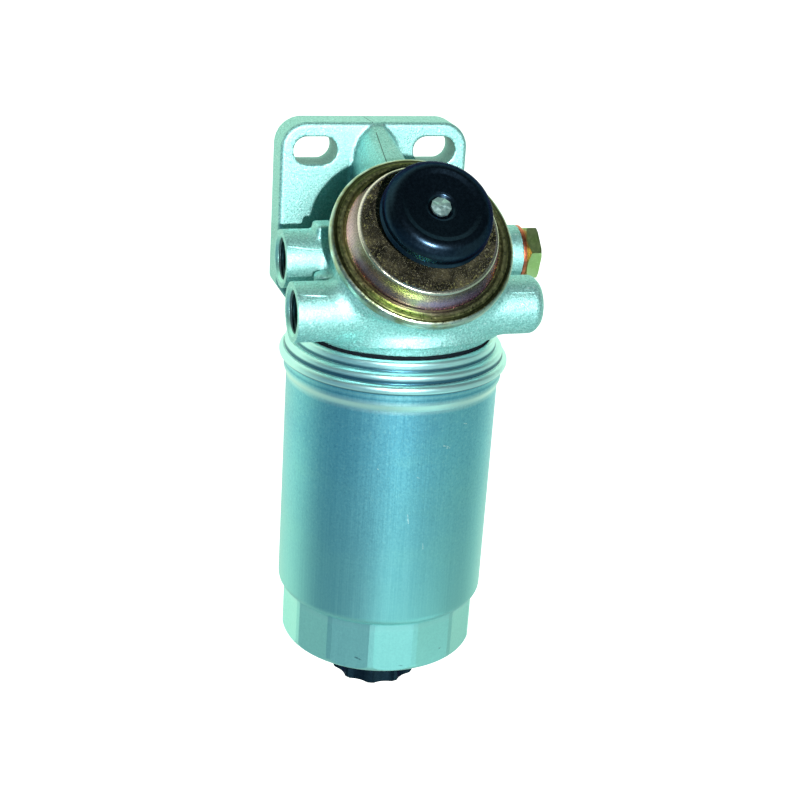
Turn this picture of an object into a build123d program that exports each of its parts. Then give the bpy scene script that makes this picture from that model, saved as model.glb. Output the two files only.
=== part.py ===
from build123d import *
import os
from math import sin, cos, tan, radians, pi, sqrt, hypot

os.makedirs("parts", exist_ok=True)

# ---------------------------------------------------------------------------
# Driving dimensions, millimetres.
# Working frame: the can's axis is Z, the can's rolled seam is near Z = 0, the
# mounting plate is at +Y and the pump leans towards -Y. At the end every piece
# is moved so that the origin is the middle of the two mounting slots on the
# plate's back face.
# ---------------------------------------------------------------------------
# mounting plate
PLATE_W = 76.0          # width
PLATE_TOP = 81.5        # top edge
PLATE_BOT = 4.0         # bottom edge
PLATE_T = 13.2          # thickness
Y_FRONT = 38.85         # front face
Y_BACK = Y_FRONT + PLATE_T
PLATE_CORNER = 10.5     # upper corner radius
CHAMFER_Z = 20.3        # start of the lower corner cut
CHAMFER_X = 30.0        # half width at the bottom edge
Z_SLOT = 70.5           # height of the slots
SLOT_SPACING = 48.5
SLOT_L = 17.5           # end to end
SLOT_W = 11.0           # clears an M10 bolt
# ports
BOSS_R = 11.0
PORT_R = 7.19           # wall of an M16 x 1.5 thread
PORT_DEPTH = 14.0
GALLERY_R = 4.5
HEX_AF = 19.3            # hexagon of the plug
YF, ZF, XF = -24.16, 26.55, 46.8            # front gallery and its end faces
YR, ZR, XRL, XRR = 6.25, 37.3, 44.4, 48.85   # rear gallery, left and right end
# head
FLANGE_R = 36.6
Z_LAND = 12.0           # face that the gasket seals on
STUD_R = 7.98
STUD_HOLE_R = 8.0
# pump: local frame, r from its axis and h along it, h = 0 at the top of the rim
PUMP_Y, PUMP_Z = -27.14, 53.3
PUMP_TILT = 45.0
RIM_R = 34.2
RIM_H = 4.5
SHEET = 1.1             # thickness of the pump's steel sheet
LIP_R = 28.5            # free edge of the folded rim
STEP_R, STEP_H = 25.9, 7.8
KNOB_R, KNOB_LO, KNOB_TOP = 20.4, 15.4, 25.2
ROD_R = 4.0
STROKE = 7.0
# can
R_CAN = 41.0
R_COLLAR = 42.1
R_BEAD = 44.0
T_CAN = 1.0
Z_SHOULDER = -98.6
Z_BOTTOM = -119.9
NECK_AF = 76.0
NECK_FLATS = 14
NECK_TURN = -19.35      # angle of one corner from -Y towards +X
# element
EL_RO, EL_RI, EL_TOP, EL_BOT, PLEATS = 35.0, 15.6, -9.0, -88.0, 56
# drain
DRAIN_R = 17.1
DRAIN_TOP, DRAIN_BOT = -121.9, -137.9
DRAIN_STEM_R = 6.0
SEAL_BORE_R = 4.65
SCALLOPS = 10
SCALLOP_TURN = -19.6    # angle of one ridge from -Y towards +X


def outline(points):
    """Closed face on the XZ plane from (x, z, corner radius) points."""
    n = len(points)
    segs = []
    for i in range(n):
        p0, p1, p2 = points[i - 1], points[i], points[(i + 1) % n]
        r = p1[2] if len(p1) > 2 else 0.0
        if r <= 0:
            segs.append((p1[:2], None, p1[:2]))
            continue
        ax, ay = p0[0] - p1[0], p0[1] - p1[1]
        bx, by = p2[0] - p1[0], p2[1] - p1[1]
        la, lb = hypot(ax, ay), hypot(bx, by)
        ax, ay, bx, by = ax / la, ay / la, bx / lb, by / lb
        c = max(-1.0, min(1.0, ax * bx + ay * by))
        half = sqrt((1 - c) / 2), sqrt((1 + c) / 2)   # sin, cos of half the corner
        t = r * half[1] / half[0]
        a = (p1[0] + ax * t, p1[1] + ay * t)
        b = (p1[0] + bx * t, p1[1] + by * t)
        d = r / half[0]
        mx, my = ax + bx, ay + by
        lm = hypot(mx, my)
        mx, my = mx / lm, my / lm
        m = (p1[0] + mx * (d - r), p1[1] + my * (d - r))
        segs.append((a, m, b))
    edges = []
    for i in range(n):
        a, m, b = segs[i]
        if m is not None:
            edges.append(Edge.make_three_point_arc((a[0], 0, a[1]), (m[0], 0, m[1]), (b[0], 0, b[1])))
        nxt = segs[(i + 1) % n][0]
        if hypot(nxt[0] - b[0], nxt[1] - b[1]) > 1e-6:
            edges.append(Edge.make_line((b[0], 0, b[1]), (nxt[0], 0, nxt[1])))
    return Face(Wire(edges))


def turned(points):
    """Solid of revolution about Z from an (r, z, corner radius) outline."""
    return Part() + revolve(outline(points), Axis.Z)


def tube(r, z0, z1):
    return Pos(0, 0, (z0 + z1) / 2) * Cylinder(r, z1 - z0)


def along_x(r, x0, x1, y, z):
    return Pos((x0 + x1) / 2, y, z) * Rot(0, 90, 0) * Cylinder(r, x1 - x0)


def coil(r_mean, wire, z0, z1, turns):
    """Coil spring about Z, with its outermost points at z0 and z1."""
    lo, hi = z0 + wire + 0.02, z1 - wire - 0.02
    path = Helix(pitch=(hi - lo) / turns, height=hi - lo, radius=r_mean)
    start = Plane(origin=path @ 0, z_dir=path % 0) * Circle(wire)
    wound = sweep(start, path=path, is_frenet=True)
    return Pos(0, 0, lo) * wound


PUMP = Plane(origin=(0, PUMP_Y, PUMP_Z), x_dir=(1, 0, 0),
             z_dir=(0, -sin(radians(PUMP_TILT)), cos(radians(PUMP_TILT)))).location
OUT = Pos(0, -Y_BACK, -Z_SLOT)
written = {}


def write(name, shape):
    placed = OUT * shape
    written[name] = placed
    export_step(placed, "parts/" + name + ".step")


# valve and screw places in the pump's floor, local x and y
INLET = (-10.5, 13.4)
OUTLET = (15.5, -7.0)
SCREWS = [(17.4, 6.3), (-18.2, -3.2), (0.0, 18.5)]
CUP_R = 26.0            # outside of the lower housing's cup
CUP_FLOOR = -12.0       # underside of the cup's floor
SEAT_H = -5.3           # casting face that the pump's gasket lies on

# ---------------------------------------------------------------------------
# filter_head: one die casting
# ---------------------------------------------------------------------------
hw = PLATE_W / 2
plate_face = outline([
    (-hw, CHAMFER_Z, 3), (-CHAMFER_X, PLATE_BOT, 3), (CHAMFER_X, PLATE_BOT, 3), (hw, CHAMFER_Z, 3),
    (hw, PLATE_TOP, PLATE_CORNER), (-hw, PLATE_TOP, PLATE_CORNER)])
plate = Pos(0, Y_BACK, 0) * (Part() + extrude(plate_face, PLATE_T, dir=(0, -1, 0)))
plate = fillet(plate.faces().sort_by(Axis.Y)[0].edges(), 1.6)
plate = fillet(plate.faces().sort_by(Axis.Y)[-1].edges(), 0.5)

base_circle = Pos(0, 0, 16.5) * Circle(FLANGE_R - 0.4)
waist_circle = Pos(0, -10.0, 33.0) * Rot(PUMP_TILT / 2, 0, 0) * Circle(29.0)
seat_circle = PUMP * Pos(0, 0, -9.6) * Circle(30.0)
body = Part() + loft([base_circle.faces()[0], waist_circle.faces()[0], seat_circle.faces()[0]])
flange = turned([(0, Z_LAND), (FLANGE_R, Z_LAND, 0.5), (FLANGE_R, 17.0, 0), (0, 17.0)])
pump_seat = PUMP * turned([(0, -12), (31.6, -12, 0), (32.4, -9.5, 1.5), (32.4, SEAT_H, 0.6), (0, SEAT_H)])


def section(y, pts):
    right = [(x, z) for x, z in pts]
    left = [(-x, z) for x, z in reversed(pts)]
    return Pos(0, y, 0) * outline(right + left)


rib = Part() + loft([
    section(Y_FRONT + 1.0, [(11.0, 44.0), (9.4, 62.0), (8.1, 71.9), (6.4, 76.2), (1.9, 80.4)]),
    section(2.0, [(14.0, 38.0), (12.0, 50.0), (10.4, 58.0), (8.2, 63.8), (4.8, 69.2)])], ruled=True)
web = Pos(0, 21.0, 32.0) * Box(26, 38, 39.6)
small_boss = turned([(0, 18), (4.8, 18), (4.6, 36.7, 1.4), (0, 36.7)])
lug = Pos(-28.6, 4.6, 46.1) * Box(7.6, 9.6, 10.2)
lug = fillet(lug.edges().group_by(Axis.Z)[-1], 1.0)

front_tube = turned([(0, -XF), (BOSS_R, -XF, 0.4), (BOSS_R, XF, 3.6), (0, XF)])
front_tube = Pos(0, YF, ZF) * Rot(0, 90, 0) * front_tube
rear_tube = turned([(0, -XRL), (BOSS_R, -XRL, 0.4), (BOSS_R, XRR, 0.8), (0, XRR)])
rear_tube = Pos(0, YR, ZR) * Rot(0, 90, 0) * rear_tube

head = body + flange + pump_seat + front_tube + rear_tube
head = head + web + rib + plate + Pos(-31.0, -11.0, 0) * small_boss + lug

# slots
for sx in (-1, 1):
    slot = Plane(origin=(sx * SLOT_SPACING / 2, Y_BACK + 1, Z_SLOT), x_dir=(1, 0, 0), z_dir=(0, 1, 0)).location \
        * extrude(SlotOverall(SLOT_L, SLOT_W), -(PLATE_T + 12))
    head = head - slot
# room for the can's rolled seam below the plate
head = head - tube(45.4, -20, 8.2) - tube(40.6, -20, 11.9)
# sealing side: annular cavity, stud hole, outlet passage
cavity = turned([(13.5, 11), (28.5, 11), (28.5, 20, 2), (13.5, 20, 2)])
head = head - cavity - tube(STUD_HOLE_R, 11, 25.5) - tube(GALLERY_R, 20, ZF + 1)
head = head - Pos(0, YF / 2, ZF) * Rot(90, 0, 0) * Cylinder(GALLERY_R, abs(YF))
# galleries and ports
head = head - along_x(GALLERY_R, -XF + 5, XF - 5, YF, ZF) - along_x(GALLERY_R, -XRL + 5, XRR - 5, YR, ZR)


def port(x_face, direction, y, z):
    bore = turned([(0, -1), (8.2, -1), (8.2, 0.25), (PORT_R, 1.26), (PORT_R, PORT_DEPTH + 1.26), (0, PORT_DEPTH + 4)])
    return Pos(x_face, y, z) * Rot(0, 90 if direction < 0 else -90, 0) * bore


head = head - port(-XF, -1, YF, ZF) - port(XF, 1, YF, ZF) - port(-XRL, -1, YR, ZR) - port(XRR, 1, YR, ZR)
# pocket for the pump's cup, valve bores, passages, screw holes
head = head - PUMP * tube(CUP_R + 0.4, CUP_FLOOR - 0.2, 0)
for px, py in (INLET, OUTLET):
    head = head - PUMP * Pos(px, py, 0) * tube(6.0, -18.4, 0)
head = head - PUMP * Pos(*INLET, 0) * tube(3.2, -34.5, 0)
head = head - PUMP * Pos(*OUTLET, 0) * tube(3.2, -41.5, 0)
for px, py in SCREWS:
    head = head - PUMP * Pos(px, py, 0) * tube(2.0, -20.0, 0)
write("filter_head", head)

# ---------------------------------------------------------------------------
# hollow threaded nipple that the can screws on
# ---------------------------------------------------------------------------
write("center_stud", turned([(5.0, -6.0), (STUD_R, -6.0, 0.8), (STUD_R, 25.3, 0.8), (5.0, 25.3)]))

# ---------------------------------------------------------------------------
# plug of the rear right port and its copper washer
# ---------------------------------------------------------------------------
hexagon = Rot(0, 0, 44.7) * extrude(RegularPolygon(HEX_AF / 2 / cos(pi / 6), 6, rotation=0), 5.6)
hexagon = Pos(0, 0, 1.9) * hexagon
cone = turned([(0, 1.9), (9.0, 1.9), (11.6, 3.6), (11.6, 6.9), (10.3, 7.5), (0, 7.5)])
plug = (hexagon & cone) + tube(9.2, 1.5, 2.0) + turned([(0, -12.0), (PORT_R - 0.04, -12.0, 1.0), (PORT_R - 0.04, 2.4), (0, 2.4)])
write("port_plug", Pos(XRR, YR, ZR) * Rot(0, 90, 0) * Rot(0, 0, 90) * plug)
washer = turned([(8.1, 0.0, 0.3), (10.9, 0.0, 0.3), (10.9, 1.5, 0.3), (8.1, 1.5, 0.3)])
write("plug_washer", Pos(XRR, YR, ZR) * Rot(0, 90, 0) * washer)

# ---------------------------------------------------------------------------
# hand primer pump
# ---------------------------------------------------------------------------
S = SHEET
# lower housing: cup, bottom flange and the rim folded over the cover
lower = turned([
    (0, CUP_FLOOR), (CUP_R, CUP_FLOOR, 2.2), (CUP_R, -RIM_H, 0.5), (RIM_R, -RIM_H, 1.2), (RIM_R, 0, 1.7),
    (LIP_R, 0, 0.3), (LIP_R, -S, 0), (RIM_R - S, -S, 0), (RIM_R - S, -RIM_H + S, 0),
    (CUP_R - S, -RIM_H + S, 0.5), (CUP_R - S, CUP_FLOOR + S, 1.1), (0, CUP_FLOOR + S)])
for px, py in (INLET, OUTLET):
    lower = lower - Pos(px, py, 0) * tube(5.65, -13, -10)
for px, py in SCREWS:
    lower = lower - Pos(px, py, 0) * tube(2.2, -13, -10)
write("pump_lower_housing", PUMP * lower)

gasket = turned([(CUP_R + 0.6, SEAT_H), (32.2, SEAT_H), (32.2, -RIM_H), (CUP_R + 0.6, -RIM_H)])
write("pump_gasket", PUMP * gasket)

screws = Part()
for px, py in SCREWS:
    one = turned([(0, -19.0), (1.95, -19.0, 0.4), (1.95, CUP_FLOOR + S), (3.6, CUP_FLOOR + S), (3.6, CUP_FLOOR + S + 2.2, 0.8),
                  (0, CUP_FLOOR + S + 2.2)])
    one = one - Pos(0, 0, CUP_FLOOR + S + 2.2) * Box(1.0, 6.0, 2.4)
    screws = screws + Pos(px, py, 0) * one
write("pump_screws", PUMP * screws)

# diaphragm: clamped edge, one convolution, raised centre
diaphragm = turned([
    (4.1, 3.0), (16.4, 3.0, 1.0), (21.0, 4.4, 1.6), (24.2, -3.38, 1.2), (32.9, -3.38), (32.9, -2.22),
    (25.2, -2.22, 0.6), (21.8, 5.9, 2.4), (16.2, 4.2, 0.6), (4.1, 4.2)])
write("pump_diaphragm", PUMP * diaphragm)
write("diaphragm_plate_upper", PUMP * turned([(ROD_R + 0.02, 4.22), (15.4, 4.22), (15.6, 5.5, 0.5), (ROD_R + 0.02, 5.5)]))
write("diaphragm_plate_lower", PUMP * turned([
    (ROD_R + 0.02, 1.78), (11.0, 1.78), (11.0, 0.6, 0.3), (12.2, 0.6, 0.3), (12.2, 1.78, 0.3), (15.6, 1.78, 0.5),
    (15.4, 2.98), (ROD_R + 0.02, 2.98)]))

# cover: flat flange, dished wall, raised flat top, short neck for the rod's bush
cover = turned([
    (8.0, 6.7), (24.6, 6.7, 1.2), (25.5, 2.2, 8.0), (27.4, -2.2, 0.8), (33.0, -2.2), (33.0, -1.12), (28.45, -1.12, 0.8),
    (STEP_R + 0.7, 2.6, 9.0), (STEP_R, STEP_H, 0.9), (9.1, STEP_H, 0.6), (9.1, 10.6, 0.3), (8.0, 10.6)])
write("pump_cover", PUMP * cover)
write("plunger_bush", PUMP * turned([
    (ROD_R + 0.06, 5.9), (8.9, 5.9), (8.9, 6.68), (7.98, 6.68), (7.98, 11.2, 0.6), (ROD_R + 0.06, 11.2)]))

# rod: lower riveted end, collar under the button, riveted upper end
KT = KNOB_TOP
rod = turned([
    (0, -0.2), (5.4, -0.2, 0.7), (5.4, 1.76), (ROD_R, 1.76), (ROD_R, 18.6), (3.2, 18.6), (3.2, KT - 3.4), (3.35, KT - 1.7, 0.5),
    (0, KT - 1.3)])
write("plunger_rod", PUMP * rod)

# button: domed edge, waist, flared skirt, dished top with a countersunk hole, hollow below
knob = turned([
    (3.22, KT - 3.4), (5.0, KT - 1.8, 0.6), (5.8, KT - 1.5, 0.4), (12.6, KT - 0.7, 2.0), (14.6, KT, 1.5), (16.6, KT - 0.25, 4.2),
    (19.9, KT - 3.8, 4.0), (19.5, 17.4, 1.4),
    (KNOB_R, KNOB_LO, 0.5), (18.6, KNOB_LO, 0.3), (17.9, 21.4, 2.0), (8.0, 20.8, 0.8), (7.6, 18.6, 0.5), (3.22, 18.62)])
write("pump_knob", PUMP * knob)

write("pump_return_spring", PUMP * coil(9.0, 0.7, CUP_FLOOR + S, 1.76, 3.0))


def valve(seat_low):
    """Pressed valve body: a short tube with a flange on the cup's floor; one end is the seat, the other the cage."""
    top = CUP_FLOOR + S
    lo = 2.6 if seat_low else 3.4
    hi = 3.4 if seat_low else 2.6
    return turned([
        (lo, -18.0), (5.6, -18.0, 0.4), (5.6, top, 0), (6.6, top), (6.6, top + 1.0, 0.4), (hi, top + 1.0),
        (hi, top), (4.9, top), (4.9, -17.0), (lo, -17.0)])


write("inlet_valve_body", PUMP * Pos(*INLET, 0) * valve(True))
write("outlet_valve_body", PUMP * Pos(*OUTLET, 0) * valve(False))
write("inlet_valve_disc", PUMP * Pos(*INLET, 0) * turned([(0, -16.98), (4.3, -16.98, 0.2), (4.3, -15.5, 0.2), (0, -15.5)]))
write("outlet_valve_disc", PUMP * Pos(*OUTLET, 0) * turned([(0, -12.4), (4.3, -12.4, 0.2), (4.3, -10.92, 0.2), (0, -10.92)]))
write("inlet_valve_spring", PUMP * Pos(*INLET, 0) * coil(3.9, 0.25, -15.5, -10.9, 3.0))
write("outlet_valve_spring", PUMP * Pos(*OUTLET, 0) * coil(3.9, 0.25, -17.0, -12.4, 3.0))

# ---------------------------------------------------------------------------
# gasket between head and can
# ---------------------------------------------------------------------------
write("sealing_gasket", turned([(30.2, 7.03, 0.3), (36.45, 7.03, 0.3), (36.45, 11.97, 0.4), (30.2, 11.97, 0.4)]))

# ---------------------------------------------------------------------------
# can: lid, shell, tapping plate
# ---------------------------------------------------------------------------
lid = turned([
    (24.0, 6.0), (37.7, 6.0, 0.3), (37.7, 9.7, 0.15), (38.05, 9.7, 0.15), (38.05, 5.8, 0.4), (40.9, 5.8, 0.6), (40.9, 2.0, 0.3),
    (40.15, 2.0, 0.3), (40.15, -2.0), (41.05, -2.0), (41.05, 1.5), (42.15, 1.5), (42.15, -0.9, 0.1),
    (R_BEAD, -0.9, 1.7), (R_BEAD, 2.95, 1.8), (41.9, 2.95, 0.35), (41.9, 6.8, 1.75), (39.05, 6.8, 0.35),
    (39.05, 10.74, 1.6), (36.7, 10.74, 0.5), (36.7, 7.0, 0.3), (29.9, 7.0, 0.3), (29.9, 8.6, 0.8), (28.7, 8.6, 0.8), (28.7, 7.0, 0.3),
    (24.0, 7.0)])
write("seaming_lid", lid)


def neck(af, z0, z1, corner):
    rc = af / 2 / cos(pi / NECK_FLATS)
    prism = extrude(Plane.XY.offset(z0) * RegularPolygon(rc, NECK_FLATS, rotation=NECK_TURN - 90), z1 - z0)
    prism = fillet(prism.edges().filter_by(Axis.Z), corner)
    return prism


# shell: collar, straight wall, rounded shoulder, 14-flat neck, flat bottom
shell = turned([
    (0, 1.45), (R_COLLAR, 1.45, 0.2), (R_COLLAR, -5.4, 1.6), (R_CAN, -7.8, 1.6), (R_CAN, Z_SHOULDER + 1.0, 4.0),
    (34.0, Z_SHOULDER - 0.6), (0, Z_SHOULDER - 0.6)])
outer_neck = neck(NECK_AF, Z_BOTTOM, -94.0, 3.0)
outer_neck = outer_neck & turned([(0, Z_BOTTOM), (38.75, Z_BOTTOM, 3.4), (38.75, -94.0), (0, -94.0)])
shell = shell + outer_neck
T = T_CAN
hollow = turned([
    (0, 3.0), (R_COLLAR - T, 3.0), (R_COLLAR - T, -5.8, 1.6), (R_CAN - T, -8.1, 1.6), (R_CAN - T, Z_SHOULDER + 2.0, 3.0),
    (33.0, Z_SHOULDER + 0.4), (0, Z_SHOULDER + 0.4)])
inner_neck = neck(NECK_AF - 2 * T, Z_BOTTOM + T, -93.0, 2.0)
inner_neck = inner_neck & turned([(0, Z_BOTTOM + T), (37.75, Z_BOTTOM + T, 2.4), (37.75, -93.0), (0, -93.0)])
shell = shell - hollow - inner_neck - tube(11.05, Z_BOTTOM - 1, Z_BOTTOM + 3)
write("filter_can", shell)

tapping = turned([
    (8.03, -2.0), (12.5, -2.0, 0.6), (13.4, 1.0, 0.6), (36.6, 1.0, 0.8), (36.6, 5.95, 0.8), (8.03, 5.95)])
for k in range(8):
    tapping = tapping - Rot(0, 0, 45 * k) * Pos(19.0, 0, 3) * Cylinder(3.0, 12)
write("tapping_plate", tapping)

# ---------------------------------------------------------------------------
# filter element: pleated paper between two caps, on a perforated tube
# ---------------------------------------------------------------------------
def star(tip_r, tip_w, valley_r, valley_w):
    pts = []
    for k in range(PLEATS):
        a = 2 * pi * k / PLEATS
        b = a + pi / PLEATS
        for ang, r, w in ((a, tip_r, tip_w), (b, valley_r, valley_w)):
            for s in (-1, 1):
                pts.append((r * cos(ang) - s * w * sin(ang), r * sin(ang) + s * w * cos(ang)))
    return make_face(Polyline(*pts, close=True))


paper = extrude(Plane.XY.offset(EL_BOT + 0.02) * (star(EL_RO, 0.8, EL_RI + 0.5, 0.18) - star(EL_RO - 0.5, 0.3, EL_RI, 0.62)),
                EL_TOP - EL_BOT - 0.04)
write("filter_element", paper)
write("element_top_cap", turned([
    (10.6, EL_TOP), (36.4, EL_TOP, 0.0), (36.4, EL_TOP - 5.0), (37.2, EL_TOP - 5.0), (37.2, EL_TOP + 1.2, 0.8), (10.6, EL_TOP + 1.2)]))
write("element_bottom_cap", turned([
    (0, EL_BOT - 1.2), (37.2, EL_BOT - 1.2, 0.8), (37.2, EL_BOT + 5.0), (36.4, EL_BOT + 5.0), (36.4, EL_BOT, 0.0), (0, EL_BOT)]))
core = turned([(12.9, EL_BOT + 0.02), (13.7, EL_BOT + 0.02), (13.7, EL_TOP - 0.02), (12.9, EL_TOP - 0.02)])
cutters = []
for row in range(7):
    for k in range(4):
        cutters.append(Pos(0, 0, EL_BOT + 9 + row * 10.2) * Rot(0, 0, 45 * k + 22.5 * (row % 2)) * Rot(0, 90, 0) * Cylinder(2.0, 30))
core = core - cutters
write("center_tube", core)
write("element_seal", turned([
    (STUD_R + 0.08, EL_TOP + 3.6, 0.4), (12.2, EL_TOP + 3.6, 0.4), (12.2, EL_TOP + 1.22), (10.58, EL_TOP + 1.22), (10.58, EL_TOP - 0.02),
    (12.2, EL_TOP - 0.02), (12.2, EL_TOP - 1.6, 0.4), (STUD_R + 0.08, EL_TOP - 1.6, 0.4)]))
write("element_spring", coil(18.0, 1.0, Z_BOTTOM + T, EL_BOT - 1.2, 4.0))

# ---------------------------------------------------------------------------
# water drain
# ---------------------------------------------------------------------------
bush = turned([
    (DRAIN_STEM_R + 0.05, Z_BOTTOM - 0.9), (12.6, Z_BOTTOM - 0.9, 0.3), (12.6, Z_BOTTOM), (11.0, Z_BOTTOM), (11.0, Z_BOTTOM + T),
    (14.0, Z_BOTTOM + T), (14.0, Z_BOTTOM + T + 1.6, 0.4), (9.6, Z_BOTTOM + T + 1.6, 0.6), (8.6, -106.2, 0.6),
    (SEAL_BORE_R, -106.2, 0.5), (SEAL_BORE_R, -111.6), (DRAIN_STEM_R + 0.05, -113.0)])
write("drain_bush", bush)

# knob: ten scallops with sharp ridges, recessed underside, threaded stem with a sealed tip; lowering the knob draws
# the tip out of the narrow bore and lets water into the cross hole and down the stem
grip = turned([(0, DRAIN_BOT), (DRAIN_R, DRAIN_BOT, 0.9), (DRAIN_R, DRAIN_TOP, 0.7), (0, DRAIN_TOP)])
step = 2 * pi / SCALLOPS
bite_r = 9.0
half_chord = DRAIN_R * sin(step / 2) - 0.7
bite_d = sqrt(DRAIN_R ** 2 - half_chord ** 2) + sqrt(bite_r ** 2 - half_chord ** 2)
for k in range(SCALLOPS):
    ang = SCALLOP_TURN - 90 + 36 * (k + 0.5)
    grip = grip - Rot(0, 0, ang) * Pos(bite_d, 0, (DRAIN_BOT + DRAIN_TOP) / 2) * Cylinder(bite_r, 40)
knob2 = grip + turned([
    (0, DRAIN_TOP - 1), (DRAIN_STEM_R, DRAIN_TOP - 1), (DRAIN_STEM_R, -113.8, 0.6), (3.0, -113.8), (3.0, -112.0), (4.4, -112.0, 0.2),
    (4.4, -111.1, 0.2), (3.0, -111.1), (3.0, -109.0), (4.4, -109.0, 0.2), (4.4, -107.4, 0.6), (0, -107.4)])
knob2 = knob2 - tube(1.7, DRAIN_BOT - 1, -112.3) - turned([
    (4.2, DRAIN_BOT - 1), (13.0, DRAIN_BOT - 1), (12.6, DRAIN_BOT + 5.0, 0.8), (4.6, DRAIN_BOT + 5.0, 0.8)])
knob2 = knob2 - Pos(0, 0, -112.9) * Rot(0, 90, 0) * Cylinder(0.75, 20)
write("drain_knob", knob2)
write("drain_o_ring", turned([(3.05, -110.95, 0.75), (SEAL_BORE_R - 0.05, -110.95, 0.75), (SEAL_BORE_R - 0.05, -109.15, 0.75), (3.05, -109.15, 0.75)]))

print(len(written), "nodes")
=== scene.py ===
import bpy, math
import numpy as np
from mathutils import Matrix, Vector


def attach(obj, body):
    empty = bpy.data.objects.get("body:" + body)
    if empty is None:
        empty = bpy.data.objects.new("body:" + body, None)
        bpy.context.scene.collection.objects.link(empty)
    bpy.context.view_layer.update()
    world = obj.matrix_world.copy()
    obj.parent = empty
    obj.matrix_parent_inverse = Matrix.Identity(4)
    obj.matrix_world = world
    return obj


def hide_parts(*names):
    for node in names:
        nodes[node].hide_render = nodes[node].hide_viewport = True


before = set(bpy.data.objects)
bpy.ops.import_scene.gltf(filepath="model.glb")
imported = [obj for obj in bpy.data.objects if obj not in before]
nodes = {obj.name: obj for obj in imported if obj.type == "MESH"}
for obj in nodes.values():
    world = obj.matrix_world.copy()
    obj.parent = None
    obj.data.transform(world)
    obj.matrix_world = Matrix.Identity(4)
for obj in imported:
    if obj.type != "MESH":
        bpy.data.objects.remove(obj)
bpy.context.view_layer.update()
MM = 0.001
# row frame = working frame moved by SHIFT; the working frame has the can's axis as Z, in millimetres
SHIFT = np.array([0.0, -52.05, -70.5])

# ---------------------------------------------------------------------------
# camera, lights, floor
# ---------------------------------------------------------------------------
cam_data = bpy.data.cameras.new("camera")
cam_data.lens = 69.73
cam_data.sensor_width = 36.0
cam_data.clip_start = 0.01
cam_data.clip_end = 50.0
cam = bpy.data.objects.new("camera", cam_data)
bpy.context.scene.collection.objects.link(cam)
bpy.context.scene.camera = cam
right = (0.9552953, -0.2888716, 0.0629612)
up = (0.0504710, 0.3691678, 0.9279913)
back = (-0.2913136, -0.8833280, 0.3672439)
cam.matrix_world = Matrix((
    (right[0], up[0], back[0], -0.172967),
    (right[1], up[1], back[1], -0.589103),
    (right[2], up[2], back[2], 0.133045),
    (0, 0, 0, 1)))

scene = bpy.context.scene
scene.view_settings.view_transform = "Standard"

CENTRE = Vector((0.0, -0.062, -0.085))


def area(name, direction, distance, size, power, color=(1, 1, 1), size_y=None, target=CENTRE):
    d = bpy.data.lights.new(name, "AREA")
    d.energy = power
    d.color = color
    d.shape = "RECTANGLE" if size_y else "DISK"
    d.size = size
    if size_y:
        d.size_y = size_y
    o = bpy.data.objects.new(name, d)
    scene.collection.objects.link(o)
    v = Vector(direction).normalized()
    o.location = Vector(target) + v * distance
    o.rotation_euler = (-v).to_track_quat("-Z", "Z").to_euler()
    return o


area("key_light", (-0.15, -1.0, 0.258), 1.6, 0.035, 39, (0.98, 1.0, 0.99))
area("key_glow", (-0.15, -1.0, 0.258), 1.5, 0.38, 2.0, (0.50, 0.85, 1.0))
area("low_bounce", (0.25, -0.75, -0.75), 0.5, 0.7, 0.42, (0.62, 1.0, 0.9), size_y=0.4, target=Vector((0.0, -0.062, -0.19)))

# floor: a wide pale plane well below the part, which hangs on its mount
fm = bpy.data.meshes.new("floor")
F = 9.0
fz = -0.46
fm.from_pydata([(-F, -F, fz), (F, -F, fz), (F, F, fz), (-F, F, fz)], [], [(0, 1, 2, 3)])
floor = bpy.data.objects.new("floor", fm)
scene.collection.objects.link(floor)
floor.visible_diffuse = False
floor.visible_glossy = False


# ---------------------------------------------------------------------------
# node helpers for materials
# ---------------------------------------------------------------------------
def material(name, base=(0.5, 0.5, 0.5), metallic=0.0, rough=0.5, **more):
    m = bpy.data.materials.new(name)
    m.use_nodes = True
    b = m.node_tree.nodes["Principled BSDF"]
    b.inputs["Base Color"].default_value = (*base, 1)
    b.inputs["Metallic"].default_value = metallic
    b.inputs["Roughness"].default_value = rough
    for k, v in more.items():
        b.inputs[k.replace("_", " ")].default_value = v
    return m, m.node_tree, b


def N(t, kind, **props):
    n = t.nodes.new(kind)
    for k, v in props.items():
        setattr(n, k, v)
    return n


def link(t, a, b):
    t.links.new(a, b)


def coords(t, scale=(1, 1, 1)):
    tc = N(t, "ShaderNodeTexCoord")
    mp = N(t, "ShaderNodeMapping")
    mp.inputs["Scale"].default_value = scale
    link(t, tc.outputs["Object"], mp.inputs["Vector"])
    return mp.outputs["Vector"]


def noise(t, vec, scale, detail=2.0, rough=0.5, distortion=0.0):
    n = N(t, "ShaderNodeTexNoise")
    n.inputs["Scale"].default_value = scale
    n.inputs["Detail"].default_value = detail
    n.inputs["Roughness"].default_value = rough
    n.inputs["Distortion"].default_value = distortion
    link(t, vec, n.inputs["Vector"])
    return n.outputs["Fac"]


def ramp(t, fac, stops):
    r = N(t, "ShaderNodeValToRGB")
    el = r.color_ramp.elements
    while len(el) < len(stops):
        el.new(0.5)
    for e, (p, c) in zip(el, stops):
        e.position = p
        e.color = (*c, 1) if len(c) == 3 else c
    link(t, fac, r.inputs["Fac"])
    return r.outputs["Color"]


def value_range(t, fac, a, b, lo, hi):
    n = N(t, "ShaderNodeMapRange")
    n.inputs["From Min"].default_value = a
    n.inputs["From Max"].default_value = b
    n.inputs["To Min"].default_value = lo
    n.inputs["To Max"].default_value = hi
    link(t, fac, n.inputs["Value"])
    return n.outputs["Result"]


def math_node(t, op, a, b=None):
    n = N(t, "ShaderNodeMath", operation=op)
    for i, v in enumerate((a, b)):
        if v is None:
            continue
        if isinstance(v, (int, float)):
            n.inputs[i].default_value = v
        else:
            link(t, v, n.inputs[i])
    return n.outputs[0]


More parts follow.
